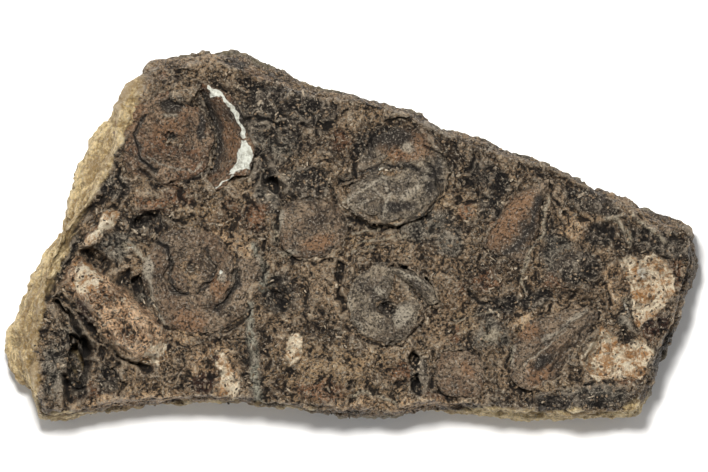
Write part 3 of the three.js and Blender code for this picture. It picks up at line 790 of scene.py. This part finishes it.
for name, rows, stone, seed in (
    ("upper_left_broken_wall", UPPER_LEFT_WALL, "red_brown", 141),
    ("lower_middle_broken_wall", LOWER_MIDDLE_WALL, "grey", 151),
):
    mesh = closed_sheet(name, wall_grid(rows, *WALL_CELLS), WALL_THICKNESS)
    finished_shell(name, mesh, (0.22, 3.0, seed, 0.2), stone)

# The broken shells: part-buried domes of the same brown stone, each with its own ragged outline,
# and on two of them the ridges and folds that the shell grew with: half width, height and corners.
SHELLS = {
    "shell_disc_middle": dict(
        ring=(-21, 3, -19.5, 8, -14, 10, -8, 10, -3.5, 8, -2, 3, -3, -2, -6.5, -5.5, -12, -6.6, -17.5, -5.4,
              -20.5, -2),
        rise=1.9, seed=201, ribs=[]),
    "shell_flank_right": dict(
        ring=(54, 15.5, 49, 13.5, 45, 11.5, 40.5, 7, 37.5, 1.5, 36, -2.5, 38, -4.8, 41.5, -5.8, 45.5, -7.6,
              47.2, -7.5, 49, -3, 51.5, 1.5, 51.6, 7.5, 53.4, 12),
        rise=2.2, seed=211, ribs=[(1.2, 0.5, 40, -3, 45, 3, 50, 11)]),
    "shell_fan_lower_right": dict(
        ring=(68, -22.5, 65, -20.3, 60, -20.8, 50, -23.4, 45.5, -28, 43.6, -34, 43.6, -40, 48, -42.8,
              54, -41.6, 58, -37, 63, -30),
        rise=2, seed=221, ribs=[
            (0.7, 1.5, 46, -35, 52.5, -29.5, 64.5, -20.8), (0.8, 1.3, 50, -38, 58, -30, 66, -22),
            (0.9, 0.9, 49, -27.5, 57, -24, 64, -20.6)]),
    "shell_disc_lower_right": dict(
        ring=(22, -38, 23.5, -33.5, 28, -31.6, 33.5, -33, 36, -37.5, 35, -43, 30, -45, 24.5, -43.5),
        rise=1.4, seed=231, ribs=[]),
}
RINGS, SPOKES = 52, 190
EDGE_SINK = 1.0  # millimetres that a dome's edge lies under the crust
DISH = 1.5  # how much deeper the underside is than the dome


def smooth_ring(corners, count):
    """A closed curve through these corners, as this many points."""
    corners = np.array(corners, float).reshape(-1, 2)
    wrapped = np.concatenate([corners[-2:], corners, corners[:2]])
    at = np.linspace(2, len(corners) + 2, count, endpoint=False)
    k = at.astype(int)
    return eased(*(np.take(wrapped, k + n, axis=0, mode="clip") for n in (-1, 0, 1, 2)), (at - k)[:, None])


def dome(name, ring, height, rise, ribs):
    """A closed low dome: rings of points from its middle to its edge above, and a dish below."""
    edge = smooth_ring(ring, SPOKES)
    middle = edge.mean(axis=0)
    share = np.linspace(0, 1, RINGS + 1)[1:, None, None]
    flat = middle + share * (edge - middle)
    swell_up = (rise + EDGE_SINK) * np.sqrt(1 - (share * 0.985) ** 3.6) * np.ones((1, SPOKES, 1))
    level = height - EDGE_SINK
    top = np.concatenate([flat, level + swell_up], axis=2).reshape(-1, 3)
    for half, tall, *corners in ribs:
        top[:, 2] += tall * (np.exp(-((from_line(top[:, :2], corners) / half) ** 2)) - 0.3)
    under = np.concatenate([flat, level - swell_up - DISH * (1 - share**4)], axis=2).reshape(-1, 3)
    points = np.vstack([[(*middle, height + rise)], top, [(*middle, level - rise - EDGE_SINK - DISH)], under])
    faces = []
    for base, flip in ((0, 1), (1 + RINGS * SPOKES, -1)):
        for s in range(SPOKES):
            n = (s + 1) % SPOKES
            faces.append((base, base + 1 + s, base + 1 + n)[::flip])
            for r in range(RINGS - 1):
                a = base + 1 + r * SPOKES
                faces.append((a + s, a + SPOKES + s, a + SPOKES + n, a + n)[::flip])
    last = 1 + (RINGS - 1) * SPOKES
    shift = 1 + RINGS * SPOKES
    for s in range(SPOKES):
        n = (s + 1) % SPOKES
        faces.append((last + s, last + shift + s, last + shift + n, last + n))
    return closed_mesh(name, points, faces)


for name, shell in SHELLS.items():
    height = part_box(name)[1].z / MM - shell["rise"]
    mesh = dome(name, shell["ring"], height, shell["rise"], shell["ribs"])
    finished_shell(name + "_dome", mesh, (0.42, 4.6, shell["seed"], 0.6), "brown", name)

# The rock: buff limestone under a dark crust that weathered rough, with a pale nodule, veins of calcite,
# clefts and broken bands of shell. It starts from the frame's slab with the fossils' sockets filled,
# and every form below rises from or sinks into that surface.
ROCK_VOXEL = 0.5 * MM
ROCK_TRIANGLES = 197000
SOCKET_FILL = 0.6 * MM
CRUST_LEVEL = 24.0  # millimetres; lower than this the sides are bare limestone
CRUST_FADE = 4  # how far below that the crust starts to thin
FOOT = (0.3, 2.5)  # the sides start to roughen at the first height and are fully rough at the second
RIM = (-58, 41, -63, 31, -67.5, 20.7, -76, 5.5, -80.8, -6.9, -86.8, -18, -88.6, -30.4, -87.6, -50.2,
       -70.2, -49.4, -48.1, -46.9, -26, -47.2, -3.9, -50, 18.3, -49.2, 40.4, -48.8, 73.6, -49.2,
       79.1, -45.1, 88.8, -29, 93.8, -8.3, 92.9, 1.4, 73.6, 7.7, 51.4, 18.5, 32.1, 25.4, 18.3, 33.2,
       -6.6, 38.2, -17.7, 44, -34.3, 49.5, -53.7, 45.6)
TAN_NODULE = (-80, -9.5, -76, -6.5, -70, -10, -62, -17, -54, -22.5, -51.5, -28, -54, -33.5, -60, -34.5,
              -66, -30.5, -71, -24.5, -77, -17.5, -81, -14)
SUNKEN_CREAM = [
    (73, -6, 79, -6, 85.5, -6, 88, -10.5, 88.5, -16, 84.5, -21, 79, -25, 77.5, -19, 75, -12.5),
    (68.5, -24, 72.5, -29, 77, -29.5, 80.5, -27, 82.5, -33, 80, -39, 73, -40, 68, -40.5, 63, -37, 65.5, -31),
]
RAISED_CREAM = [
    (-19, -30.5, -17, -27, -13.5, -28, -14, -32, -15, -35, -17, -35.5, -18.5, -33),
    (-41, -32.5, -37.5, -31.5, -33.5, -36, -31, -41.5, -33, -44.5, -37, -45, -36.5, -39),
    (-56.5, -31.5, -52.5, -29, -51, -33, -54, -36, -58, -35),
    (-78.5, -9.5, -72, -8.5, -69, -13, -73, -17, -78, -15),
    (-68.2, 6.6, -65.4, 6.6, -65.2, 4, -69.4, 0.4, -73.4, -3.2, -75.6, -3.2, -72.8, 1),
]
GROWTH_MIDDLE = (74.5, 13.5)  # the broken shell whose growth lines show at the back edge
GROWTH_PATCH = (62.5, 14, 62.6, 9.5, 65, 5.4, 69.5, 3.2, 73.5, 3.6, 75.5, 5.4, 74, 8.5, 70, 11, 66, 14)
LAPS = [(-68, 30, 6, 12, -20), (-62, 41, 8, 4, 35), (-60, 14, 6, 4, 0), (0, 28, 5, 7, 20),
    (22, 27, 8, 5, -30), (14, -8, 6, 3, -15), (-30, -3, 4, 6, 20), (-28, -16, 3, 5, 0), (20, -26, 4, 4, 0),
    (-58, -20, 4, 5, 0)]
DEEP_LAPS = [(-53, 42, 17, 7.5, 8), (-69, 28, 8, 16, -18), (-58, 10, 8, 4, 0)]
WORN_SMOOTH = [(45, -11, 6, 8, 20), (57, -4, 5, 9, 5), (-27, 36, 9, 4, -20), (-82, -40, 4, 9, 5),
    (66, -42, 9, 4, 5)]
STAINS["tan"] = dict(ovals=[(-39, -37, 8, 9, 10), (72, -15, 4, 8, 0), (-47, -27, 7, 3, 0),
    (-36, 1, 5, 8, 10), (47, -24.5, 5, 4, 30), (-24, 43, 8, 1.6, -28), (-60, 38, 6, 3, 40),
    (10, -47, 22, 2.4, 0), (-60, -46, 24, 3, 3), (28, -18, 4, 4, 0), (-30, -8, 3, 9, 0), (60, 3, 5, 5, 0)])
STAINS["ochre"] = dict(ovals=[(-10, -38, 24, 10, 0), (-64, -44, 16, 5, 0), (-42, 6, 9, 6, 0),
    (28, 8, 7, 5, 0), (-14, 40, 8, 4, -20), (34, -24, 8, 5, 0), (58, -44, 10, 4, 0), (0, -2, 12, 4, 5),
    (-75, 6, 5, 9, -35)])
STAINS["red_hole"] = dict(ovals=[(-42, -41, 4, 3.6, 0), (-38.5, -34, 1.6, 1.6, 0), (84, -25, 4, 3.4, 30),
    (-74, -22, 2, 6, 30)])
STAINS["vein"] = dict(lines=[(1.35, -29, -20, -28.5, -28, -27.5, -35.5, -27, -42.5, -26, -47),
    (1.5, -27.5, -3.5, -25.5, -8, -24.5, -14.5)])
STAINS["grey"] = dict(ovals=[(-65, -3, 6, 5, 0), (-55, -25.5, 3.6, 4.2, 20), (-57.5, -17, 3, 3.5, 0),
    (-83, -38, 4, 10, 5), (38, -27.5, 6, 5, 0), (27, -2, 4.5, 4.5, 0), (20, 3, 9, 5, 20),
    (57, -5, 6, 8, 10), (-22, 27, 9, 8, 0), (75, -21.5, 2, 5, 25), (66, -44, 12, 4, 5),
    (-24, 10, 4, 6, 20)],
    lines=[(1.6, -29, -21, -28.5, -28, -27.5, -35.5, -27, -42.5, -26, -46)])
STAINS["cream"] = dict(outlines=SUNKEN_CREAM + RAISED_CREAM)
STAINS["nodule"] = dict(outlines=[TAN_NODULE])
SIDE_LUMPS = dict(ovals=[(-92, -34, 8, 13, 10)], lines=[(7, -55, 46, -66, 33, -75, 17)])


def fossil_floor(points):
    """How far each point lies inside a fossil's outline, and how high rock may stand there."""
    spots = warped(warped(points, 1.5, 7, 120), 0.6, 2.2, 125)[:, :2]
    lapped = 3.5 * stained(spots, LAPS) + 6.5 * stained(spots, DEEP_LAPS)
    inside = np.full(len(points), -99.0)
    ceiling = np.full(len(points), 99.0)
    for coil in AMMONITES.values():
        back = np.linspace(coil["start"], coil["start"] + 1, 40)
        angle = math.radians(coil["mouth"]) + coil["hand"] * 2 * math.pi * back
        grown = coil["growth"] ** -back
        ring = np.column_stack([np.cos(angle), np.sin(angle)]) * (coil["radius"] * grown)[:, None]
        ring += np.array(coil["middle"]) + np.array(coil["drift"]) * grown[:, None]
        depth = into_patch(spots, ring) - lapped
        away = spots - np.array(coil["middle"])
        slope = [math.tan(math.radians(a)) for a in coil["tilt"]]
        tall = coil["radius"] / 2 * (1 - coil["lap"] / coil["growth"]) * coil["flat"]
        bed = coil["height"] + slope[0] * away[:, 1] - slope[1] * away[:, 0]
        bed += tall * coil["fill"] * np.clip(np.hypot(*away.T) / coil["radius"], 0, 1)
        ceiling = np.where(depth > -0.6, np.minimum(ceiling, bed + 0.25 * rough(points, 1.6, 90)), ceiling)
        inside = np.maximum(inside, depth)
    for name, shell in SHELLS.items():
        depth = into_patch(spots, smooth_ring(shell["ring"], 28))
        ceiling = np.where(depth > 0.3, np.minimum(ceiling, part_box(name)[1].z / MM - 3.6), ceiling)
        inside = np.maximum(inside, depth)
    for rows in (UPPER_LEFT_WALL, LOWER_MIDDLE_WALL):
        grid = wall_grid(rows, 12, 9)
        depth = into_patch(spots, [*grid[0, :, :2], *grid[-1, ::-1, :2]])
        ceiling = np.where(depth > 0.2, np.minimum(ceiling, grid[..., 2].min() - 1.8), ceiling)
        inside = np.maximum(inside, depth)
    return inside, ceiling


def crust_relief(points):
    """How far the crust rises at each point, in millimetres."""
    loose = warped(points, 1.1, 4.5, 40)
    spots = loose[:, :2]
    pale = stained(spots, **STAINS["cream"])
    grown = smooth_step(into_patch(spots, GROWTH_PATCH), -0.4, 0.6)
    worn_and_highlit = stained(spots, WORN_SMOOTH)
    rise = 1.7 * rough(points, 12, 1, 2) + 2.8 * ledges(loose, 8.0, 4) + 0.5
    fine = ledges(warped(points, 0.9, 3, 47), 4.4, 14, 2) + 0.25 * crests(loose, 3.4, 24)
    inside, number = knobs(warped(points, 0.9, 1.9, 50), 2.9, 9)
    fine += 0.8 * (number - 0.5) - 1.6 * smooth_step(number, 0.88, 1) * smooth_step(inside, 0.05, 0.4)
    inside, number = knobs(warped(points, 0.4, 1.1, 55), 1.45, 19)
    fine += 0.55 * np.sqrt(np.clip(inside, 0, 1)) + 0.6 * (number - 0.5) + 0.4 * rough(points, 0.95, 33, 2)
    rise += fine * (1 - 0.35 * pale) * (1 - 0.85 * grown) * (1 - 0.55 * worn_and_highlit)
    rings = np.hypot(*(points[:, :2] - GROWTH_MIDDLE).T)
    rise += grown * (0.45 * np.abs(np.sin(math.pi * rings / 1.15)) - 0.16 * (rings - 8))
    rise += 2.0 * stained(spots, LAPS) + 2.6 * stained(spots, DEEP_LAPS)
    for half, tall, _, *corners in RIDGES:
        rise += tall * np.exp(-((from_line(spots, corners) / half) ** 2))
    for corners in SUNKEN_CREAM:
        rise -= 1.4 * smooth_step(into_patch(spots, corners), -0.5, 1.5)
    rise += smooth_step(into_patch(spots, TAN_NODULE), -0.3, 2.2) * (3.4 + 2.0 * rough(loose, 5.5, 21, 2))
    rise -= 1.4 * stained(spots, **STAINS["red_hole"])
    return rise


def side_relief(points):
    """The broken limestone of the sides: steps along its bedding, with conchoidal dents."""
    bedding = rough(points * (0.35, 0.35, 1.6), 5.0, 61, 2)
    inside, number = knobs(warped(points, 1.5, 7, 66), 7.5, 63)
    lump = stained(points[:, :2], **SIDE_LUMPS)
    broken = bedding + 1.6 * (number - 0.5) + 0.4 * np.sqrt(np.clip(inside, 0, 1))
    return broken + 0.7 * rough(points, 2.6, 65) + lump * (1.3 + 1.1 * swell(points, 7, 68))


def filled_block():
    """The frame's slab and fossils as one mesh, the fossils a little swollen so that their sockets close."""
    whole = bmesh.new()
    for name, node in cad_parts.items():
        part = bmesh.new()
        part.from_mesh(node.data)
        bmesh.ops.remove_doubles(part, verts=part.verts, dist=1e-6)
        part.normal_update()
        if name != "matrix_slab":
            for vertex in part.verts:
                vertex.co += vertex.normal * SOCKET_FILL
        loose = bpy.data.meshes.new("part")
        part.to_mesh(loose)
        part.free()
        whole.from_mesh(loose)
        bpy.data.meshes.remove(loose)
    made = bpy.data.meshes.new("filled_block")
    whole.to_mesh(made)
    whole.free()
    return made


# Mask, its low and high, then one plain colour, or two tones with the sizes of their clouds.
CRUST_LAYERS = [
    ("ochre", 0.1, 1.1, (0.075, 0.045, 0.026), (0.46, 0.31, 0.17), 110.0, 1000.0),
    ("grey", 0.1, 1.0, (0.040, 0.036, 0.031), (0.27, 0.235, 0.18), 100.0, 1000.0),
    ("rust", 0.0, 1.2, (0.095, 0.044, 0.022), (0.36, 0.180, 0.09), 120.0, 900.0),
    ("tan", 0.1, 1.0, (0.15, 0.088, 0.046), (0.66, 0.44, 0.25), 140.0, 800.0),
    ("nodule", 0.1, 0.9, (0.21, 0.108, 0.050), (0.86, 0.56, 0.33), 150.0, 900.0),
    # The dark layer colours darker crust, and painted shade in grooves and pits.
    ("dark", 0.05, 0.85, (0.010, 0.008, 0.007), (0.095, 0.074, 0.056), 100.0, 1100.0),
    ("pale", 0.15, 1.0, (0.40, 0.34, 0.24)),
    ("vein", 0.2, 0.9, (0.17, 0.155, 0.115), (0.40, 0.385, 0.30), 200.0, 900.0),
    ("cream", 0.2, 0.8, (0.46, 0.235, 0.09), (0.96, 0.82, 0.60), 220.0, 1000.0, 0.42, 0.56),
    ("red_hole", 0.2, 0.9, (0.050, 0.020, 0.012)),
]
CRUST_LIME = ("white", 0.3, 0.9, (0.42, 0.32, 0.20), (0.72, 0.68, 0.58), 400.0, 1100.0, 0.38, 0.56)


def crust_colour(tree, place):
    """The crust with its stains, and the sides, buff in front and on the left and grey elsewhere."""
    crust = tones(tree, place, (0.042, 0.027, 0.017), (0.39, 0.265, 0.155), 70.0, 1000.0)
    crust = layered(tree, place, crust, CRUST_LAYERS)
    grey_side = tones(tree, place, (0.06, 0.047, 0.032), (0.22, 0.18, 0.11), 60.0, 600.0)
    buff_side = tones(tree, place, (0.36, 0.24, 0.10), (0.95, 0.74, 0.40), 60.0, 600.0)
    side = blend_colour(tree, mask(tree, "buff"), grey_side, buff_side)
    colour = blend_colour(tree, mask(tree, "crusted"), side, crust)
    calc, times = calculator(tree)
    # Clean cream and the bare sides get fewer dark grains and less painted shade in their hollows.
    clean = calc("MAXIMUM", mask(tree, "cream"), calc("SUBTRACT", 1.0, mask(tree, "crusted")))
    dark_amount = calc("MULTIPLY_ADD", clean, -0.72, 0.9)
    depth = calc("MULTIPLY_ADD", clean, -0.5, 0.93)
    return weathered_and_shaded(tree, place, colour, (0.56, 0.48, 0.37, 1), 0.75, dark_amount, depth, 0.42, CRUST_LIME)


def on_crust(height):
    """0 on the bare sides, 1 as high as the crust."""
    return smooth_step(height, CRUST_LEVEL - CRUST_FADE, CRUST_LEVEL)


rock = shaped(filled_block(), "REMESH", mode="VOXEL", voxel_size=ROCK_VOXEL)
points = neighbours_mean(rock, read_points(rock), 8)
write_points(rock, points)
normals = read_normals(rock)
up = smooth_step(normals[:, 2], 0.25, 0.7) * on_crust(points[:, 2])
within = smooth_step(into_patch(points[:, :2], RIM), 1.5, 4) * smooth_step(points[:, 2], 6, 12)
up = np.maximum(up, within)
lift = (warped(points, 0.9, 3.5, 85) - points) * within[:, None]
lift[:, 2] = up * crust_relief(points)
outward = side_relief(points) * (1 - up) * smooth_step(points[:, 2], *FOOT)
moved = points + lift + normals * outward[:, None]
inside, ceiling = fossil_floor(points)
moat = smooth_step(inside, -2.6, -0.2) * (0.9 + 0.9 * swell(points, 5, 97))
moved[:, 2] -= up * np.clip(moat, 0, 2)
moved[:, 2] = np.where((inside > -0.6) & (up > 0.2), np.minimum(moved[:, 2], ceiling), moved[:, 2])
moved[:, 2] -= up * crevice_depth(points)
write_points(rock, moved)
share = ROCK_TRIANGLES / (2 * len(rock.polygons))
rock = shaped(rock, "DECIMATE", ratio=share, use_collapse_triangulate=True)

points, normals = read_points(rock), read_normals(rock)
crusted = smooth_step(normals[:, 2] + 0.35 * rough(points, 6, 70), 0.05, 0.4)
crusted *= on_crust(points[:, 2] + 2 * rough(points, 8, 71))
left = smooth_step(-points[:, 0] - 0.55 * points[:, 1] + 5 * rough(points, 14, 73), 30, 42)
front = smooth_step(-points[:, 1] + 2 * rough(points, 9, 75), 44, 47) * smooth_step(points[:, 0], 16, 24)
buff = np.clip(left + front, 0, 1)
above = smooth_step(into_patch(warped(points, 1.4, 4.5, 130)[:, :2], RIM), 0.2, 1.3)
crusted = np.maximum(crusted * (1 - buff * (1 - above)), above * smooth_step(points[:, 2], 4, 8))
paint(rock, "buff", buff)
paint(rock, "crusted", np.maximum(crusted, (1 - buff) * smooth_step(points[:, 2], 9, 15)))
paint_stains(rock, STAINS)
paint_hollows(rock)
crust_stone = stone_material("weathered_crust", 0.58, 0.95, crust_colour)
finished("rock_slab", rock, crust_stone, "matrix_slab")

# Crumbs and broken bits of shell: loose grains of the same stone and thin slivers of pale shell,
# stuck all over the crust where it weathered. One tree of nodes strews both over the rock.
STREWN = {
    "crumbs": dict(density=0.2, smallest=(0.24, 0.2, 0.16), largest=(0.85, 0.6, 0.45), tumble=3.1, seed=301),
    "shell_slivers": dict(
        density=0.03, smallest=(0.5, 0.18, 0.14), largest=(1.5, 0.5, 0.3), tumble=0.45, seed=311),
}
SQUARE_METRE = 1e6  # square millimetres


def make_strewing_tree():
    tree, given, result = new_tree("strewn_bits", "GeometryNodeTree", {
        "Rock": "Geometry", "Density": 0.2, "Smallest": (1, 1, 1), "Largest": (1, 1, 1), "Tumble": 3.1,
        "Seed": 0, "Material": "Material"}, {"Geometry": "Geometry"})
    calc, times = calculator(tree)
    normal = add(tree, "GeometryNodeInputNormal").outputs["Normal"]
    facing = add(tree, "ShaderNodeSeparateXYZ", {0: normal}).outputs[2]
    crust = add(tree, "GeometryNodeInputNamedAttribute", {"Name": "crusted"}, data_type="FLOAT").outputs[0]
    wanted = times(calc("GREATER_THAN", facing, 0.35), calc("GREATER_THAN", crust, 0.6))
    spots = add(tree, "GeometryNodeDistributePointsOnFaces", {
        "Mesh": given["Rock"], "Density": times(times(given["Density"], SQUARE_METRE), wanted),
        "Seed": given["Seed"]})
    lump = add(tree, "GeometryNodeMeshIcoSphere", {"Radius": 1.0, "Subdivisions": 1})

    def draw(step, data_type, limits):
        seed = calc("ADD", given["Seed"], step)
        return add(tree, "FunctionNodeRandomValue", {**limits, "Seed": seed}, data_type=data_type).outputs

    spin = draw(0.0, "FLOAT_VECTOR", {0: (-1, -1, -3.1), 1: (1, 1, 3.1)})[0]
    tipped = add(tree, "ShaderNodeCombineXYZ", {0: given["Tumble"], 1: given["Tumble"], 2: 1.0})
    spin = add(tree, "ShaderNodeVectorMath", {0: spin, 1: tipped.outputs[0]}, operation="MULTIPLY").outputs[0]
    turned = add(tree, "FunctionNodeRotateRotation", {
        "Rotation": spots.outputs["Rotation"], "Rotate By": spin}, rotation_space="LOCAL")
    size = draw(1.0, "FLOAT_VECTOR", {0: given["Smallest"], 1: given["Largest"]})[0]
    size = add(tree, "ShaderNodeVectorMath", {0: size, "Scale": MM}, operation="SCALE").outputs[0]
    bits = add(tree, "GeometryNodeInstanceOnPoints", {
        "Points": spots.outputs["Points"], "Instance": lump.outputs["Mesh"], "Rotation": turned.outputs[0],
        "Scale": size})
    shade = draw(2.0, "FLOAT", {2: 0.0, 3: 1.0})[1]
    tinted = add(tree, "GeometryNodeStoreNamedAttribute", {
        "Geometry": bits.outputs[0], "Name": "tint", "Value": shade}, domain="INSTANCE")
    real = add(tree, "GeometryNodeRealizeInstances", {"Geometry": tinted.outputs[0]})
    clad = add(tree, "GeometryNodeSetMaterial", {"Geometry": real.outputs[0], "Material": given["Material"]})
    tree.links.new(clad.outputs[0], result.inputs[0])
    return tree


def bit_colours(dark, light):
    """Each bit has its own tone between two, with a little mottling."""
    def colour_of(tree, place):
        colour = blend_colour(tree, mask(tree, "tint"), (*dark, 1), (*light, 1))
        gritty = use_group(tree, grit, {"Place": place, "Color": colour, "Size": 1500.0, "Pale Amount": 0.3,
                                        "Dark Amount": 0.6})
        return gritty["Color"], gritty["Height"]
    return colour_of


BIT_STONES = {
    "crumbs": stone_material(
        "crumb_stone", 0.6, 0.2, bit_colours((0.018, 0.013, 0.010), (0.24, 0.17, 0.105))),
    "shell_slivers": stone_material(
        "sliver_shell", 0.55, 0.15, bit_colours((0.06, 0.042, 0.028), (0.38, 0.31, 0.22))),
}
strewing_tree = make_strewing_tree()
for name, bits in STREWN.items():
    stone = BIT_STONES[name]
    inputs = {key.title(): value for key, value in bits.items()}
    mesh = shaped(rock.copy(), "NODES", {**inputs, "Material": stone}, node_group=strewing_tree)
    finished(name, mesh, stone).data.shade_flat()
